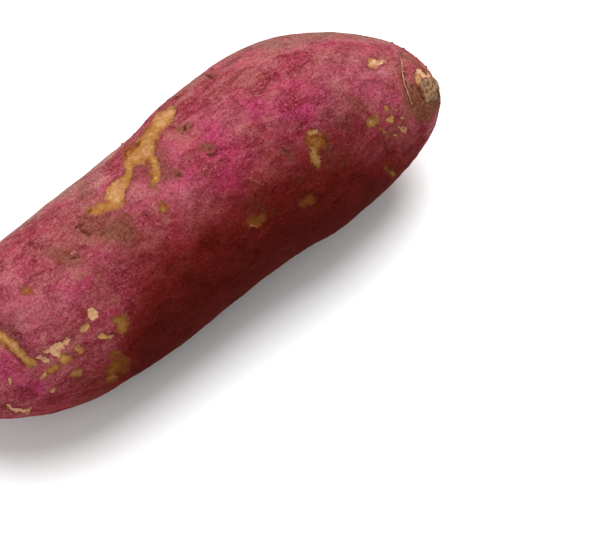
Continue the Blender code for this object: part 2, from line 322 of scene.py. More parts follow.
HIDDEN_HALF_WIDTH = 2.1 * MM
ANY_HEADING = (0, 6.28)
RAGGED = ((0.85, 2.6), (0.60, 1.2))

# The healed split near the tail: an ochre band that faces up, with a thin crack below it whose dark line is
# painted shade in the crease, and a painted shadow over the red skin above it.
SPLIT_BAND = ((-26, 307, 1.2), (-15, 318, 3.0), (-6, 329, 4.2), (0, 336.5, 4.5), (8.4, 341.5, 4.5),
              (16.8, 350.5, 4.4), (25.3, 359, 4.4), (30, 363.5, 4), (36, 362.5, 2.4))
SPLIT_TONE = 0.56
SPLIT_CRACK = ((-24, 314, 0.6), (-14, 327, 1.2), (0, 343, 1.3), (7.8, 348.6, 1.4), (12.9, 354, 1.4),
               (19, 361, 1.4), (25, 367, 1.2), (32, 368.5, 0.6))
SPLIT_SHADOW = ((-14, 314, 3), (5, 329, 4), (14.7, 333.8, 4), (20.7, 340.7, 4), (25.9, 348.4, 4),
                (34.5, 353.6, 4), (38, 358, 2.5))

hidden_draw = random.Random(HIDDEN_SEED)
hidden = np.flatnonzero((facing < HIDDEN_FACING) & (from_tail > TAIL_KEPT))


def wandering_stroke(start, heading, steps, stride, half_width, turn):
    """A stroke that wanders over the skin, with a half width that swells and shrinks."""
    place = Vector(points[start])
    stroke = [(*place, half_width * hidden_draw.uniform(0.4, 0.9))]
    for _ in range(steps):
        heading += hidden_draw.uniform(-turn, turn)
        _, normal, _, _ = skin_tree.find_nearest(place)
        ahead = Vector((1, 0, 0)).cross(normal).normalized()
        ahead = ahead * math.sin(heading) + normal.cross(ahead) * math.cos(heading)
        place = skin_tree.find_nearest(place + ahead * stride)[0]
        stroke.append((*place, half_width * hidden_draw.uniform(0.5, 1.1)))
    return stroke


patches = [(tone, seen_depth([patch])) for tone, patch in (*BARE_PATCHES, (SPLIT_TONE, SPLIT_BAND))]
for _ in range(HIDDEN_PATCHES):
    start = hidden[hidden_draw.randrange(len(hidden))]
    size = hidden_draw.uniform(0.4, 1.0) ** 2 * HIDDEN_HALF_WIDTH
    steps = hidden_draw.choice(HIDDEN_STEPS)
    tone = hidden_draw.choice(HIDDEN_TONES)
    heading = hidden_draw.uniform(*ANY_HEADING)
    patches.append((tone, skin_depth([wandering_stroke(start, heading, steps, size * 1.6, size, 0.7)])))
bare = np.full(count, OUTSIDE)
bare_tone = np.zeros(count)
for tone, inside in patches:
    bare_tone = np.where(inside > bare, tone, bare_tone)
    bare = np.maximum(bare, inside)
for seed, (width, size) in enumerate(RAGGED, 3):
    bare += width * lumps(size, seed)


# The eyes, nicks and pits, where dirt has stayed: dark marks pressed into the skin, with pale scratches
# and root stubs, and crumbs of soil that stand up. On the hidden sides each dent of the solid is an eye
# and gets a dark crescent with a pale dot of root stub in it.
DARK_MARKS = (
    ((74.7, 227.7, 0.9), (78, 226.2, 1.5), (82.7, 223.3, 0.9)),
    ((80.7, 230, 1.0), (85, 231.4, 1.6), (88, 233.5, 1.8), (91.3, 233.3, 0.9)),
    ((86, 235, 0.8), (88, 237, 0.6)),
    ((70, 256.5, 1.0), (74, 257.5, 1.6), (79, 256.5, 0.9)),
    ((138.6, 142.2, 1.3), (137.6, 144.5, 1.4)),
    ((125.5, 151, 0.8), (124.6, 155, 0.7)),
    ((151.5, 186.4, 0.8), (155, 186.2, 0.8)),
    ((88.5, 211.5, 1.0), (91, 209, 0.8)),
    ((207.5, 153.5, 1.2), (212, 155.2, 2.1), (215.5, 153, 1.5), (217, 149.5, 0.8)),
    ((184.5, 128.6, 1.6), (187.6, 122.8, 1.1)),
    ((176.5, 173.6, 1.4), (180, 175, 1.6)),
    ((206.5, 75, 1.1), (210, 76.5, 1.7), (212.5, 77.5, 0.9)),
    ((303.3, 125.8, 1.1),),
    ((320.5, 150, 1.2),),
    ((311, 150.8, 1.0),),
    ((318, 154.2, 1.0),),
    ((321.5, 159.3, 0.9),),
    ((314.5, 167.2, 0.9), (318.5, 167, 0.8)),
    ((325, 138, 1.2), (326.5, 143, 1.1)),
    ((397.4, 65.3, 0.9),),
    ((385, 96.6, 0.8), (388.5, 95.8, 0.8)),
    ((412.3, 86.2, 1.1),),
    ((284, 150, 0.8), (288, 153, 1.0)),
    ((73, 358.6, 1.0),),
    ((419, 88, 1.2), (420.5, 91.5, 1.2)),
    ((421.5, 96, 1.0), (423.5, 98.5, 0.9)),
    ((411.5, 99.5, 1.0), (413, 101, 0.8)),
    ((437, 96, 1.2),),
)
PALE_MARKS = (
    ((215.8, 148, 0.7), (217.3, 143.8, 0.7)),
    ((186, 126.4, 0.7), (188.6, 124, 0.6)),
    ((254, 95, 0.8), (260, 96, 0.9), (266.5, 97, 0.7)),
    ((224.4, 111.7, 1.1),),
    ((223.8, 164.6, 1.1),),
    ((250, 224.8, 1.0), (257.5, 227, 0.9)),
    ((248.6, 177.5, 0.8), (255, 181, 0.9), (262.6, 184.5, 0.7)),
    ((71.5, 253.5, 1.5), (74.5, 252, 1.5)),
)
CRUMBS = (
    ((168, 100, 1.6),),
    ((176, 97, 1.4),),
    ((160, 108, 1.2),),
    ((147, 122, 1.3),),
    ((393, 41, 1.0),),
    ((404, 46, 1.1),),
    ((427, 66, 0.9),),
    ((212, 70, 1.2),),
    ((120, 141, 1.0),),
)
EYE_SMOOTHINGS = 160
EYE_DENT = 0.22
EYE_FACING = 0.1
EYE_FLOOR_GAP = 1.5 * MM
EYE_APART = 9 * MM
EYE_CRESCENT = 1.7 * MM
CRESCENT_TURN = 1.1
CRESCENT_HALF_WIDTH = 0.62 * MM
CRESCENT_TAPER = 0.28 * MM
EYE_DOT = 0.5 * MM
HIDDEN_NICKS = 60
HIDDEN_SCRATCHES = 16

broad = smoothed(points, EYE_SMOOTHINGS, from_tail < TAIL_KEPT)
dent = ((points - broad) * normals).sum(axis=1) / MM
dent_middle = float(np.median(dent))
eye_centres = []
for vertex in np.argsort(dent):
    if dent[vertex] > dent_middle - EYE_DENT:
        break
    near_end = from_tail[vertex] < 2 * TAIL_KEPT
    if facing[vertex] > EYE_FACING or near_end or points[vertex, 2] < EYE_FLOOR_GAP:
        continue
    if all(np.linalg.norm(points[vertex] - points[other]) > EYE_APART for other in eye_centres):
        eye_centres.append(vertex)

hidden_dark = []
hidden_pale = []
for vertex in eye_centres:
    centre = Vector(points[vertex])
    normal = Vector(normals[vertex])
    across = Vector((1, 0, 0)).cross(normal).normalized()
    lengthwise = normal.cross(across)
    crescent = []
    for turn in np.linspace(-CRESCENT_TURN, CRESCENT_TURN, 6):
        place = centre + (across * math.sin(turn) + lengthwise * (math.cos(turn) - 0.5)) * EYE_CRESCENT
        crescent.append((*skin_tree.find_nearest(place)[0], CRESCENT_HALF_WIDTH - CRESCENT_TAPER * abs(turn)))
    hidden_dark.append(crescent)
    hidden_pale.append([(*centre, EYE_DOT)])
for _ in range(HIDDEN_NICKS):
    start = hidden[hidden_draw.randrange(len(hidden))]
    size = hidden_draw.uniform(0.28, 0.5) * MM
    hidden_dark.append(wandering_stroke(start, hidden_draw.uniform(*ANY_HEADING), 1, size * 2, size, 0.5))
for _ in range(HIDDEN_SCRATCHES):
    start = hidden[hidden_draw.randrange(len(hidden))]
    heading = hidden_draw.uniform(*ANY_HEADING)
    hidden_pale.append(wandering_stroke(start, heading, 3, 1.3 * MM, 0.34 * MM, 0.4))

dark = np.maximum(seen_depth(DARK_MARKS), skin_depth(hidden_dark))
# The crack's dark line is painted shade in the crease.
crack = seen_depth([SPLIT_CRACK])
pale = np.maximum(seen_depth(PALE_MARKS), skin_depth(hidden_pale))
crumbs = skin_depth([[(*seen_at(px, py), width * PIXEL) for px, py, width in crumb] for crumb in CRUMBS])


# The stem scar, where the root broke off the plant: a low knob of dark brown cork with pale ridges
# curled over it.
SCAR = ((424, 83, 3), (428, 86, 7), (431, 92, 8.5), (437, 90, 8.5))
SCAR_FADE = 2.2
SCAR_RIDGE = 0.38
SCAR_CURLS = (
    ((424, 85, 0.3), (425.2, 81.6, 0.8), (427.6, 80.2, 1.1), (430, 81.4, 0.7), (430.6, 85, 0.9),
     (429, 88, 0.6)),
    ((420.8, 80.6, 0.3), (421.4, 85, 0.8), (423, 89, 1.1), (425, 92.6, 0.7), (424.4, 97, 1.0),
     (426.4, 100.4, 1.5), (430, 98, 1.0), (433, 94.6, 0.4)),
    ((430, 77.4, 0.4), (433.4, 78.6, 1.0), (436, 82, 0.6), (437, 86.4, 0.8), (438, 89, 0.3)),
    ((433, 84, 0.3), (434, 87.6, 1.0), (432.6, 91, 1.2), (429, 93.6, 1.4), (427, 96, 0.7)),
    ((425.6, 86.4, 0.4), (427.2, 90, 0.7)),
    ((436, 93, 0.4), (435, 97, 0.9), (432, 100, 0.5)),
)
CURL_HEIGHT = 0.42

scar_stroke = [(*seen_at(px, py), width * PIXEL) for px, py, width in SCAR]
scar_gap, scar_width = nearest_on(points, scar_stroke)
knob = step_up((scar_width - scar_gap) / MM + 0.8 * lumps(2.6, 22), -SCAR_FADE, 0.3)
ridges = 1 - 2.6 * np.abs(lumps(2.1, 23) + 0.35 * lumps(1.1, 24))
curls = seen_depth(SCAR_CURLS) + 0.22 * lumps(0.8, 25)


# Soft changes of tone in the skin: brown stains, matt grey scurf with a painted sheen of rim light, magenta
# and deep red places, painted shadows and painted highlights. Each place has a strength before its stroke. On
# the hidden sides lumps of noise place them.
BROWN_PLACES = (
    (0.80, ((402, 55, 4), (425, 70, 5), (436, 84, 5))),
    (1.00, ((410, 96, 5), (417, 102, 8), (424, 106, 10), (433, 106, 9))),
    (0.90, ((414, 86, 4), (419, 92, 5))),
    (0.90, ((439, 84, 3), (440, 92, 4), (438, 100, 5))),
    (0.35, ((425, 120, 9), (410, 112, 8))),
    (0.60, ((401, 66, 3), (405, 84, 4), (409, 97, 4))),
    (0.35, ((340, 50, 14), (380, 48, 12))),
    (0.50, ((75, 180, 8), (86, 192, 8))),
    (0.30, ((60, 215, 22), (100, 215, 20))),
    (0.60, ((56, 255, 8), (66, 258, 9))),
    (0.40, ((95, 235, 16), (120, 242, 18), (100, 265, 18))),
    (0.45, ((126, 222, 8), (124, 232, 9))),
    (0.60, ((130, 178, 7), (140, 160, 6))),
    (0.55, ((160, 150, 8), (165, 175, 10))),
    (0.60, ((284, 151, 5), (291, 157, 5))),
    (0.95, ((203, 147, 4), (211, 147, 5))),
    (0.85, ((180, 129, 4), (187, 126, 4))),
    (0.70, ((178, 174.5, 3.5),)),
    (0.50, ((205, 73, 7), (213, 77, 6))),
    (0.45, ((274, 211, 5), (256, 205, 8))),
    (0.60, ((326, 140, 4), (330, 150, 6))),
    (0.10, ((360, 100, 10), (400, 112, 12))),
    (0.30, ((395, 140, 10), (385, 155, 8))),
    (0.30, ((10, 330, 10), (100, 300, 14))),
    (0.20, ((70, 360, 10), (110, 350, 12), (118, 375, 8))),
    (0.15, ((392, 116, 7), (398, 130, 6))),
    (0.40, ((300, 205, 8), (310, 200, 6))),
    (0.42, ((335, 165, 8), (352, 160, 8))),
    (0.45, ((350, 99, 6), (363, 103, 6))),
    (0.40, ((298, 178, 7), (312, 176, 6))),
    (0.35, ((340, 120, 7), (352, 128, 7))),
)
# Grey scurf, with a painted grey sheen of rim light in the strokes along the upper outline and down the stem
# end's right edge.
SCURF_AND_SHEEN_PLACES = (
    (0.90, ((-20, 240, 12), (10, 215, 14), (40, 190, 14), (70, 168, 14), (100, 148, 12))),
    (0.90, ((100, 148, 12), (150, 108, 8), (200, 72, 6))),
    (0.60, ((200, 72, 6), (250, 46, 6), (300, 34, 8), (360, 34, 8), (410, 58, 6))),
    (0.45, ((85, 190, 20), (110, 165, 16))),
    (0.15, ((60, 215, 14), (100, 190, 10))),
    (0.15, ((10, 278, 16), (35, 290, 12))),
    (0.60, ((438, 102, 3.5), (435, 118, 4), (428, 133, 4))),
)
MAGENTA_PLACES = (
    (0.90, ((250, 108, 9), (280, 110, 8), (305, 112, 7))),
    (0.60, ((225, 150, 14), (250, 160, 12))),
    (0.75, ((198, 122, 8), (212, 132, 8))),
    (0.85, ((190, 176, 8), (206, 188, 9), (222, 176, 9), (236, 188, 8))),
    (0.45, ((165, 148, 9), (176, 152, 8))),
    (0.60, ((385, 98, 9), (396, 108, 8))),
    (0.90, ((2, 366, 9), (18, 380, 10), (35, 388, 9))),
    (0.50, ((70, 310, 12), (40, 318, 10))),
    (0.50, ((300, 85, 10), (330, 100, 8))),
    (0.50, ((285, 136, 12), (320, 118, 10))),
)
# Deep red places, and painted shadows: SPLIT_SHADOW above the split and the last two places, low on the tail
# half.
DEEP_RED_AND_SHADOW_PLACES = (
    (0.35, ((290, 118, 7), (300, 122, 6))),
    (0.48, ((328, 98, 12), (335, 115, 18), (350, 140, 18))),
    (0.20, ((35, 250, 12), (50, 256, 8))),
    (0.16, ((45, 222, 14), (75, 225, 14), (90, 260, 14), (75, 290, 14))),
    (0.10, ((75, 380, 14), (105, 355, 14))),
    (0.50, SPLIT_SHADOW),
    (0.42, ((128, 266, 8), (125, 290, 8))),
    (0.24, ((104, 280, 12), (96, 296, 10))),
)
# Painted highlights: pale pink places where the light falls brightest on the skin.
PAINTED_HIGHLIGHT_PLACES = (
    (0.75, ((383, 72, 5), (388, 74, 4))),
    (0.40, ((372, 158, 5), (380, 152, 4))),
    (0.30, ((330, 72, 14), (370, 82, 12))),
    (0.35, ((360, 62, 12),)),
    (0.35, ((165, 190, 12), (182, 200, 10))),
    (0.22, ((90, 215, 14), (125, 205, 14), (160, 160, 14), (205, 195, 12))),
    (0.30, ((225, 115, 18),)),
    (0.35, ((30, 305, 22), (15, 285, 16))),
)
brown = soft_tone(BROWN_PLACES)
scurf_and_sheen = soft_tone(SCURF_AND_SHEEN_PLACES)
magenta = soft_tone(MAGENTA_PLACES)
deep_red_and_shadow = soft_tone(DEEP_RED_AND_SHADOW_PLACES)
painted_highlight = soft_tone(PAINTED_HIGHLIGHT_PLACES)

# Scurf and stains lie thickest on the upper back of the root, broken up by lumps; the grey there is partly a
# painted sheen of rim light along the top.
UPPER_BACK = np.array((0.45, 0.78, 0.44))
scurf_breaks = 0.9 + 0.7 * lumps(9, 44)
upper_back = step_up(normals @ UPPER_BACK, 0.72, 0.96)
scurf_and_sheen = np.maximum(scurf_and_sheen, 0.70 * upper_back) * scurf_breaks
brown = np.maximum(brown, 0.50 * upper_back * scurf_breaks)

unseen = step_up(-facing, -0.15, 0.3)
magenta = np.maximum(magenta, unseen * step_up(lumps(26, 41), 0.0, 0.6) * 0.7)
brown = np.maximum(brown, unseen * step_up(lumps(15, 42), 0.1, 0.6) * 0.6)
scurf_and_sheen_thinned = scurf_and_sheen * (1 - unseen * step_up(lumps(14, 45), -0.3, 0.3) * 0.7)
scurf_and_sheen = np.maximum(scurf_and_sheen_thinned, unseen * step_up(lumps(19, 43), 0.1, 0.7) * 0.5)

# Painted shade on the lower front of the root: the skin's colour is darkened there, darker towards the
# bottom. Each start is a place along the root in mm and how far up its side the painted shade reaches there.
LOWER_FRONT = np.array((-0.45, -0.77, -0.45))
LOWER_STARTS = (
    (-92, -1.10), (-70, -1.00), (-58, -0.78), (-46, -0.58), (-38, -0.34), (-30, -0.02), (-20, 0.30),
    (-5, 0.32), (21, 0.28), (36, 0.16), (48, 0.07), (60, 0.02), (75, -0.40), (92, -0.90),
)
downward = normals @ LOWER_FRONT + np.interp(points[:, 0] / MM, *np.transpose(LOWER_STARTS))
downward += 0.10 * lumps(11, 46)
painted_shade_lower = step_up(downward, -0.26, 0.50)
painted_shade_lowest = step_up(downward, 0.10, 0.85)


# The skin's relief: lumps in three sizes, wrinkles across the ends, fine ridges along the tail half,
# and all the marks above pressed in or raised. It stays inside the solid's box and off the floor.
LUMPS = ((0.30, 12), (0.13, 4.6), (0.07, 1.7))
RELIEF_BIAS = -0.06
PATCH_DEPTH = 0.16
PATCH_RIM = 0.07
DARK_DEPTH = 0.35
CRACK_DEPTH = 0.75
PALE_HEIGHT = 0.25
CRUMB_HEIGHT = 0.45
WRINKLE = 0.10
WRINKLE_SIZES = (1.5, 7, 7)
TAIL_RIDGE = 0.13
TAIL_RIDGE_SIZES = (22, 2.6, 2.6)
FLAT_EDGE = 1.6 * MM

relief = np.full(count, RELIEF_BIAS)
for height, size in LUMPS:
    relief += height * lumps(size, size)
end_wrinkles = step_up(np.abs(points[:, 0] / MM), 45, 80)
relief += WRINKLE * (0.35 + end_wrinkles) * lumps(1, 31, WRINKLE_SIZES)
relief += TAIL_RIDGE * step_up(-points[:, 0] / MM, 30, 75) * lumps(1, 32, TAIL_RIDGE_SIZES)
relief -= PATCH_DEPTH * step_up(bare, -0.1, 0.5)
relief += PATCH_RIM * np.exp(-((bare + 0.35) / 0.3) ** 2)
relief -= DARK_DEPTH * step_up(dark, -0.35, 0.35)
relief -= CRACK_DEPTH * step_up(crack, -0.7, 0.3)
relief += PALE_HEIGHT * step_up(pale, -0.3, 0.2)
relief += SCAR_RIDGE * knob * ridges
relief += CURL_HEIGHT * step_up(curls, -0.30, 0.15)
relief += CRUMB_HEIGHT * step_up(crumbs, -0.45, 0.25)
relief *= step_up(points[:, 2], 0.1 * MM, FLAT_EDGE) * step_up(from_tail, 2 * MM, TAIL_KEPT)

points = points + normals * (relief * MM)[:, None]
lowest = np.array(solid_box[0])
highest = np.array(solid_box[1])
points = np.clip(points, lowest, highest)
set_points()

# The dark marks stored here also hold the crack's line of painted shade.
for name, values in (
    ("bare", bare), ("bare_tone", bare_tone), ("dark", np.maximum(dark, crack - 0.32)), ("pale", pale),
    ("brown", brown), ("scurf_and_sheen", scurf_and_sheen), ("magenta", magenta), ("deep_red_and_shadow", deep_red_and_shadow), ("painted_highlight", painted_highlight),
    ("painted_shade_lower", painted_shade_lower), ("painted_shade_lowest", painted_shade_lowest), ("knob", knob), ("ridges", ridges),
    ("curls", curls), ("crumbs", crumbs),
):
    skin_mesh.attributes.new(name, "FLOAT", "POINT").data.foreach_set("value", values.astype(np.float32))


# The skin's look: thin dry skin in magenta, crimson and brownish pink, with fine pale fibres and dark
# red dots, matt grey-brown scurf and stains over it, and dry tan cork in the bare patches and the scar.
# Painted highlights, painted shadows, a painted sheen of rim light and painted shade on the lower front
# are laid into its colour.
class Socket:
    """An output of a shader node. Sums and products of sockets and numbers make Math nodes."""

    tree = None

    def __init__(self, output):
        self.output = output

    @classmethod
    def node(cls, kind, settings=None, inputs=None, output=0):
        """Makes a node from its type, its settings and the values or links of its sockets."""
        made = cls.tree.nodes.new(kind)
        for name, value in (settings or {}).items():
            setattr(made, name, value)
        for name, value in (inputs or {}).items():
            if isinstance(value, Socket):
                cls.tree.links.new(value.output, made.inputs[name])
            else:
                made.inputs[name].default_value = value
        return cls(made.outputs[output])

    @classmethod
    def math(cls, operation, *values):
        return cls.node("ShaderNodeMath", {"operation": operation}, dict(enumerate(values)))

    def __add__(self, other):
        return self.math("ADD", self, other)

    def __sub__(self, other):
        return self.math("SUBTRACT", self, other)

    def __rsub__(self, other):
        return self.math("SUBTRACT", other, self)

    def __mul__(self, other):
        return self.math("MULTIPLY", self, other)

    __radd__ = __add__
    __rmul__ = __mul__


def begin_look(name):
    """A new material and its shader. The nodes that follow are made in it."""
    look = bpy.data.materials.new(name)
    look.use_nodes = True
    Socket.tree = look.node_tree
    return look, look.node_tree.nodes["Principled BSDF"]


def feed(shader, name, value):
    """Leads a value that changes over the surface into a socket of the shader."""
    Socket.tree.links.new(value.output, shader.inputs[name])


def stored(name):
    """A number that each vertex of the skin keeps."""
    return Socket.node("ShaderNodeAttribute", {"attribute_name": name}, output=2)


def between(value, low, high):
    """0 below low, 1 above high and smooth between them."""
    return Socket.node(
        "ShaderNodeMapRange",
        {"interpolation_type": "SMOOTHSTEP"},
        {"Value": value, "From Min": low, "From Max": high},
    )


def blend(mask, below, above):
    """The colour above over the colour below, as far as the mask says."""
    return Socket.node("ShaderNodeMix", {"data_type": "RGBA"}, {0: mask, 6: below, 7: above}, output=2)


def brightened(colour, factor):
    """A colour times a number."""
    return Socket.node("ShaderNodeVectorMath", {"operation": "SCALE"}, {0: colour, "Scale": factor})


def grain(size, detail=2.0, roughness=0.5, distortion=0.0, stretch=(1, 1, 1)):
    """A noise from 0 to 1 round 0.5, in lumps of about this size in mm, longer along stretched axes."""
    place = Socket.node("ShaderNodeTexCoord", output="Object")
    scale = tuple(1000 / (size * share) for share in stretch)
    place = Socket.node("ShaderNodeVectorMath", {"operation": "MULTIPLY"}, {0: place, 1: scale})
    return Socket.node(
        "ShaderNodeTexNoise",
        None,
        {"Vector": place, "Scale": 1, "Detail": detail, "Roughness": roughness, "Distortion": distortion},
    )


MID_RED = (0.215, 0.030, 0.042, 1)
MAGENTA = (0.285, 0.017, 0.078, 1)
CRIMSON = (0.165, 0.013, 0.017, 1)
BROWN_PINK = (0.240, 0.075, 0.066, 1)
# Pale pink for the fibres and for the painted highlights.
FIBRE_AND_HIGHLIGHT_PINK = (0.400, 0.125, 0.165, 1)
# Deep red for the dark dots and deep places, and the colour of the painted shadows.
SHADOW_AND_DEEP_RED = (0.060, 0.005, 0.007, 1)
# Colours of the painted shade on the lower front.
PAINTED_SHADE_RED = (0.098, 0.006, 0.003, 1)
PAINTED_SHADE_BROWN = (0.040, 0.004, 0.002, 1)
STAIN = (0.085, 0.029, 0.013, 1)
STAIN_PALE = (0.165, 0.067, 0.032, 1)
# Grey of the scurf and of the painted sheen of rim light.
SCURF_AND_SHEEN_GREY = (0.255, 0.152, 0.126, 1)
PALE_CREAM = (0.640, 0.450, 0.290, 1)
CREAM = (0.490, 0.285, 0.160, 1)
TAN = (0.370, 0.192, 0.075, 1)
OCHRE = (0.270, 0.122, 0.028, 1)
RUST = (0.190, 0.056, 0.010, 1)
PATCH_EDGE = (0.100, 0.030, 0.010, 1)
# Dark dirt in the marks, and the painted shade in the split's crack.
DIRT_AND_CREASE_SHADE = (0.050, 0.010, 0.005, 1)
FIBRE = (0.360, 0.180, 0.140, 1)
CORK = (0.280, 0.170, 0.092, 1)
CORK_BROWN = (0.150, 0.085, 0.045, 1)
CORK_GAP = (0.045, 0.018, 0.008, 1)
SHINE = 0.005
BUMP_HEIGHT = 0.20 * MM

skin_look, shader = begin_look("potato_skin")
# Painted shade on the lower front, stored on the skin.
painted_shade = stored("painted_shade_lower")
patch_tone = stored("bare_tone")

broad_grain = grain(17, 2)
middle_grain = grain(7.5, 3, 0.55, 0.5, (1.4, 1, 1))
crossing_grain = grain(5.6, 3, 0.60, 0.8, (1.5, 1, 1))
blotches = grain(2.0, 4, 0.62, 0.5, (1.3, 1, 1))
fine_grain = grain(0.80, 3, 0.66, 0.6)
fibres = grain(0.68, 3, 0.6, 1.6, (1.9, 1, 1))
dots = grain(0.50, 2, 0.5)

colour = blend(between(broad_grain, 0.40, 0.62) * 0.35, MID_RED, MAGENTA)
magenta_place = stored("magenta")
colour = blend(magenta_place * 0.85, colour, MAGENTA)
veil = middle_grain + (blotches - 0.5) * 0.35 + (fine_grain - 0.5) * 0.45
veil_mask = between(veil, 0.38, 0.64) * (0.85 - magenta_place * 0.60)
colour = blend(veil_mask, colour, BROWN_PINK)
depths = crossing_grain - (blotches - 0.5) * 0.25
colour = blend(between(depths, 0.42, 0.66) * 0.75, colour, CRIMSON)
# Painted highlights in pale pink.
colour = blend(stored("painted_highlight") * 0.6, colour, FIBRE_AND_HIGHLIGHT_PINK)
# Deep red places and painted shadows.
colour = blend(stored("deep_red_and_shadow"), colour, SHADOW_AND_DEEP_RED)
# Grey scurf, and a painted sheen of rim light along the upper outline.
scurf_and_sheen_spread = stored("scurf_and_sheen") + (blotches - 0.5) * 0.9 + (fine_grain - 0.5) * 0.5
colour = blend(between(scurf_and_sheen_spread, 0.10, 1.10) * 0.85, colour, SCURF_AND_SHEEN_GREY)
# Painted shade on the lower front, darker towards the bottom.
colour = blend(painted_shade * 0.90, colour, PAINTED_SHADE_RED)
colour = blend(stored("painted_shade_lowest") * 0.75, colour, PAINTED_SHADE_BROWN)
shade = fine_grain * 1.9 + (blotches - 0.5) * 0.35 - (crossing_grain - 0.5) * 1.15 + 0.08
colour = brightened(colour, shade)
# Fewer pale fibres show in the painted shade.
paled = 0.60 - painted_shade * 0.60
colour = blend(between(fibres, 0.50, 0.68) * paled, colour, FIBRE_AND_HIGHLIGHT_PINK)
colour = blend(between(dots, 0.52, 0.70) * 0.50, colour, SHADOW_AND_DEEP_RED)

stain_grain = grain(1.8, 5, 0.65, 1.0)
stain_spread = stored("brown") + (stain_grain - 0.5) * 0.9 + (blotches - 0.5) * 0.5
stain_mask = between(stain_spread, 0.10, 0.95)
stain_colour = blend(between(fine_grain + (stain_grain - 0.5) * 0.7, 0.36, 0.68), STAIN, STAIN_PALE)
# The stains are darkened with the painted shade too.
stain_colour = brightened(stain_colour, 1.0 - painted_shade * 0.6)
colour = blend(stain_mask * 0.82, colour, stain_colour)

bare_edge = stored("bare") + (grain(0.8, 3, 0.6) - 0.5) * 1.5
bare_edge = bare_edge + (blotches - 0.5) * between(patch_tone, 0.4, 0.8) * 2.0
edge_softness = 0.15 + between(patch_tone, 0.38, 0.80) * 1.5
bare_mask = between(bare_edge + edge_softness * 0.55, 0.0, edge_softness)
edge_mask = between(bare_edge, -1.3, 0.0) * between(patch_tone, -0.2, 0.7)
inward = between(stored("bare") + (blotches - 0.5) * 1.2, 0.1, 1.5)
cork_tone = patch_tone + (grain(1.9, 4, 0.68, 0.6) - 0.5) * 1.25 + (1 - inward) * 0.45 * patch_tone
bare_colour = blend(between(cork_tone, -0.5, 0.0), PALE_CREAM, CREAM)
bare_colour = blend(between(cork_tone, 0.10, 0.50), bare_colour, TAN)
bare_colour = blend(between(cork_tone, 0.50, 0.80), bare_colour, OCHRE)
bare_colour = blend(between(cork_tone, 0.85, 1.35), bare_colour, RUST)
islands = between(blotches + (crossing_grain - 0.5) * 0.6, 0.50, 0.66) * (1 - inward * 0.5)
# The bare patches are darkened with the painted shade on the lower front, and fewer pink islands show there.
bare_colour = blend(islands * (0.60 - painted_shade * 0.60), bare_colour, BROWN_PINK)
bare_colour = brightened(bare_colour, (0.45 + fine_grain * 1.1) * (1.0 - painted_shade * 0.38))
colour = blend(edge_mask * 0.55, colour, PATCH_EDGE)
colour = blend(bare_mask * 0.95, colour, bare_colour)

knob_mask = between(stored("knob") + (stain_grain - 0.5) * 0.9, 0.20, 1.05)
knob_height = stored("ridges") + (stain_grain - 0.5) * 2.2
knob_colour = blend(between(knob_height, -0.9, 0.9), CORK_GAP, CORK_BROWN)
curl_mask = between(stored("curls") + (fine_grain - 0.5) * 0.5, -0.30, 0.12)
knob_colour = blend(curl_mask * (0.55 + between(stain_grain, 0.35, 0.65) * 0.4), knob_colour, CORK)
knob_colour = brightened(knob_colour, 0.4 + fine_grain * 1.2)
knob_mask = Socket.math("MAXIMUM", knob_mask, curl_mask)
colour = blend(knob_mask * 0.95 * (1 - bare_mask), colour, knob_colour)
colour = blend(between(stored("crumbs"), -0.6, 0.1) * 0.85, colour, CORK_GAP)

# Dark dirt marks, and the crack's line of painted shade.
dark_mask = between(stored("dark") + (grain(0.7, 3, 0.6) - 0.5) * 1.8, -0.40, 0.35)
colour = blend(dark_mask * 0.85, colour, DIRT_AND_CREASE_SHADE)
pale_mask = between(stored("pale") + (fine_grain - 0.5) * 0.9, -0.15, 0.25)
# Fewer pale marks show in the painted shade.
colour = blend(pale_mask * (0.70 - painted_shade * 0.35), colour, FIBRE)
feed(shader, "Base Color", colour)

dull = 0.62 + stain_mask * 0.15 + bare_mask * 0.10 + (fine_grain - 0.5) * 0.3
feed(shader, "Roughness", dull)
height = fine_grain + fibres * 0.5 + blotches * 0.6 - bare_mask * 0.4
bump = Socket.node("ShaderNodeBump", None, {"Height": height, "Strength": 0.7, "Distance": BUMP_HEIGHT})
feed(shader, "Normal", bump)
shader.inputs["Specular IOR Level"].default_value = SHINE

skin_mesh.materials.clear()
skin_mesh.materials.append(skin_look)
skin_mesh.polygons.foreach_set("use_smooth", [True] * len(faces))
skin = put_in_scene("potato_skin", skin_mesh)
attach(skin, "root")
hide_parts("sweet_potato")


# The rootlets: thin dry feeder roots that stayed on the skin, one branched one by the stem scar and
# short stubs elsewhere. Each lies on the skin and dips into it at its ends.
ROOTLET_RADIUS = 0.25 * MM
ROOTLETS_SEEN = (
    ((400.5, 59), (401.3, 65), (401.6, 71), (402.4, 77), (404.6, 86), (407.6, 94), (409.5, 99), (412.3, 106)),
    ((401.6, 70.5), (403.6, 72.5), (406.2, 73)),
    ((403.3, 79), (405.6, 80.5), (407.4, 84), (408.6, 89)),
)
ROOTLET_SIDES = 7
ROOTLET_TAPER = 0.45
ROOTLET_SWELL = 0.15
LIFT = 1.3
END_SUNK = -0.8
HIDDEN_ROOTLETS = 9
HIDDEN_RADIUS = 0.9 * ROOTLET_RADIUS
FLOOR_CLEARANCE = 6 * MM

skin_tree = BVHTree.FromPolygons(points.tolist(), faces)
rootlet_mesh = bmesh.new()


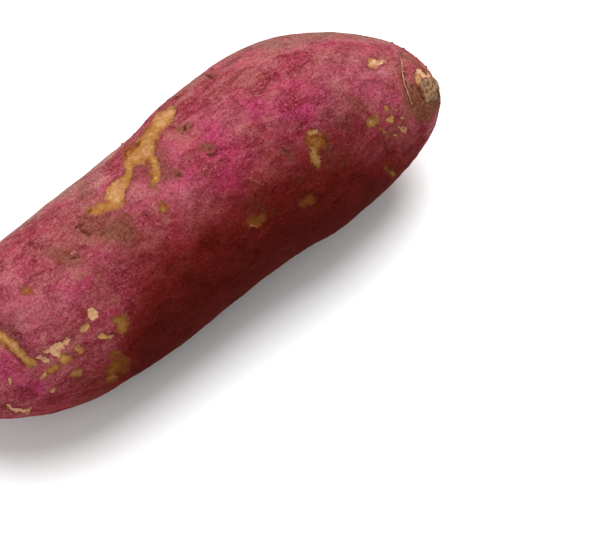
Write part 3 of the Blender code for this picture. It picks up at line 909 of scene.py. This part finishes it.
def add_rootlet(stops, radius):
    """A thin tube through places on the skin, its two ends sunk in."""
    route = []
    for start, end in zip(stops[:-1], stops[1:]):
        for share in (0.0, 0.34, 0.67):
            route.append(start.lerp(end, share))
    route.append(stops[-1])
    rings = []
    for index, place in enumerate(route):
        place, normal, _, _ = skin_tree.find_nearest(place)
        share = index / (len(route) - 1)
        lift = LIFT if 0 < index < len(route) - 1 else END_SUNK
        size = radius * (1 - ROOTLET_TAPER * share) * (1 + ROOTLET_SWELL * math.sin(5 * index))
        place = place + normal * size * lift
        ahead = (route[min(index + 1, len(route) - 1)] - route[max(index - 1, 0)]).normalized()
        side = ahead.cross(normal).normalized()
        ring = []
        for corner in range(ROOTLET_SIDES):
            turn = math.tau * corner / ROOTLET_SIDES
            outward = side * math.cos(turn) + normal * math.sin(turn)
            ring.append(rootlet_mesh.verts.new(place + outward * size))
        rings.append(ring)
    for ring, following in zip(rings[:-1], rings[1:]):
        for corner in range(ROOTLET_SIDES):
            beside = (corner + 1) % ROOTLET_SIDES
            rootlet_mesh.faces.new((ring[corner], ring[beside], following[beside], following[corner]))
    rootlet_mesh.faces.new(rings[0][::-1])
    rootlet_mesh.faces.new(rings[-1])


for rootlet in ROOTLETS_SEEN:
    add_rootlet([seen_at(px, py) for px, py in rootlet], ROOTLET_RADIUS)
clear_of_floor = hidden[points[hidden, 2] > FLOOR_CLEARANCE]
for _ in range(HIDDEN_ROOTLETS):
    start = clear_of_floor[hidden_draw.randrange(len(clear_of_floor))]
    length = hidden_draw.uniform(1.2, 2.6) * MM
    stroke = wandering_stroke(start, hidden_draw.uniform(*ANY_HEADING), 3, length, MM, 0.6)
    add_rootlet([Vector(stop[:3]) for stop in stroke], HIDDEN_RADIUS)
for vert in rootlet_mesh.verts:
    vert.co = np.clip(vert.co, lowest, highest)
bmesh.ops.recalc_face_normals(rootlet_mesh, faces=rootlet_mesh.faces)

ROOTLET_PALE = (0.430, 0.205, 0.130, 1)
ROOTLET_BROWN = (0.250, 0.095, 0.052, 1)
ROOTLET_ROUGHNESS = 0.75
ROOTLET_BUMP = 0.05 * MM

rootlet_look, shader = begin_look("dry_rootlet")
strands = grain(1.4, 3, 0.6, 0.5)
feed(shader, "Base Color", blend(between(strands, 0.38, 0.62), ROOTLET_BROWN, ROOTLET_PALE))
height = grain(0.4, 2)
bump = Socket.node("ShaderNodeBump", None, {"Height": height, "Strength": 0.5, "Distance": ROOTLET_BUMP})
feed(shader, "Normal", bump)
shader.inputs["Roughness"].default_value = ROOTLET_ROUGHNESS

rootlet_data = bpy.data.meshes.new("rootlets")
rootlet_mesh.to_mesh(rootlet_data)
rootlet_data.materials.append(rootlet_look)
rootlet_data.polygons.foreach_set("use_smooth", [True] * len(rootlet_data.polygons))
rootlets = put_in_scene("rootlets", rootlet_data)
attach(rootlets, "root")


# The studio: a plain white floor that the root lies on, a broad soft sun from behind the top of the
# picture, a weak lamp from the left, and a plain pale surround.
FLOOR_SIDE = 14.0
FLOOR_WHITE = (0.90, 0.90, 0.90, 1)
FLOOR_ROUGHNESS = 0.9
KEY_PLACE = Vector((0.42, 0.58, 1.32))
KEY_SOFTNESS = math.radians(50)
KEY_STRENGTH = 4.3
FILL_PLACE = Vector((-0.9, -0.3, 0.9))
FILL_SIDE = 0.8
FILL_WATTS = 3
SURROUND_WHITE = (1, 1, 1, 1)
SURROUND_STRENGTH = 0.50

floor_mesh = bpy.data.meshes.new("floor")
half = FLOOR_SIDE / 2
floor_corners = [(-half, -half, 0), (half, -half, 0), (half, half, 0), (-half, half, 0)]
floor_mesh.from_pydata(floor_corners, [], [(0, 1, 2, 3)])
floor_look, shader = begin_look("floor_white")
shader.inputs["Base Color"].default_value = FLOOR_WHITE
shader.inputs["Roughness"].default_value = FLOOR_ROUGHNESS
floor_mesh.materials.append(floor_look)
floor = put_in_scene("floor", floor_mesh)

key_data = bpy.data.lights.new("key", "SUN")
key_data.angle = KEY_SOFTNESS
key_data.energy = KEY_STRENGTH
fill_data = bpy.data.lights.new("fill", "AREA")
fill_data.size = FILL_SIDE
fill_data.energy = FILL_WATTS
for lamp_data, place in ((key_data, KEY_PLACE), (fill_data, FILL_PLACE)):
    lamp = put_in_scene(lamp_data.name, lamp_data)
    lamp.location = place
    lamp.rotation_euler = (-place).to_track_quat("-Z", "Y").to_euler()

world = bpy.data.worlds.new("surround")
world.use_nodes = True
world.node_tree.nodes["Background"].inputs["Color"].default_value = SURROUND_WHITE
world.node_tree.nodes["Background"].inputs["Strength"].default_value = SURROUND_STRENGTH
bpy.context.scene.world = world
bpy.context.scene.view_settings.view_transform = "Standard"
